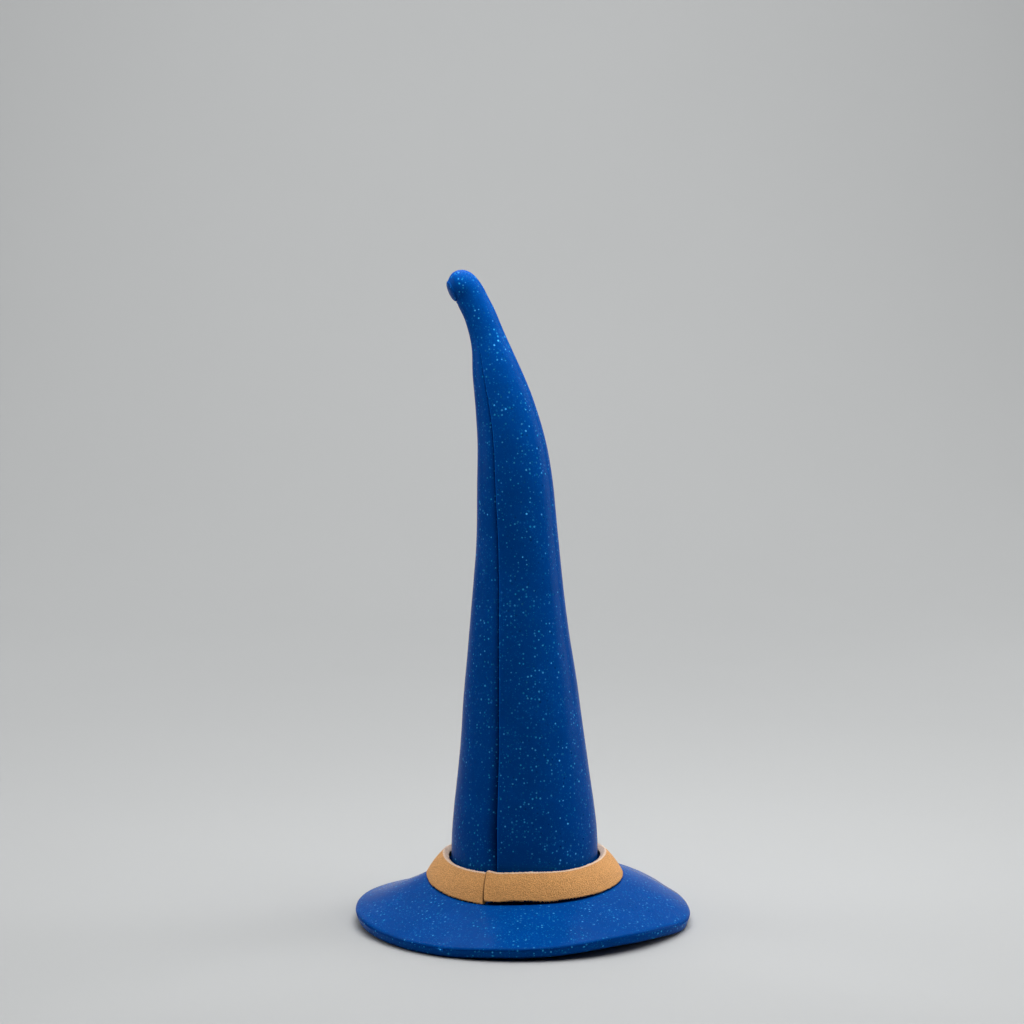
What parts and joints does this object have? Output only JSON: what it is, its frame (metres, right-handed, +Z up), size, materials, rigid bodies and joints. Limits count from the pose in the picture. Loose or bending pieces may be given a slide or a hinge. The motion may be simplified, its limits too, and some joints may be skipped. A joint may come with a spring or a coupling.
{
  "type": "miniature wizard hat",
  "caption": "Small wizard's hat of dark blue glitter clay: a tall rolled cone with a lap seam and a hooked tip, a sloping round brim and a tan suede band.",
  "frame": {"origin": "middle of the brim, on the surface that the hat rests on", "axes": "+Z up along the crown, -Y towards the side with the lap seam, -X the way the tip hooks over"},
  "size_m": [0.0422, 0.0421, 0.0819],
  "materials": {
    "glitter_clay": "satin dark blue polymer clay, full of fine bright blue glitter",
    "tan_suede": "matt tan suede with a short nap and a fuzzy cut edge"
  },
  "bodies": {
    "root": {"crown": "glitter_clay", "brim": "glitter_clay", "hat_band": "tan_suede"}
  },
  "joints": []
}
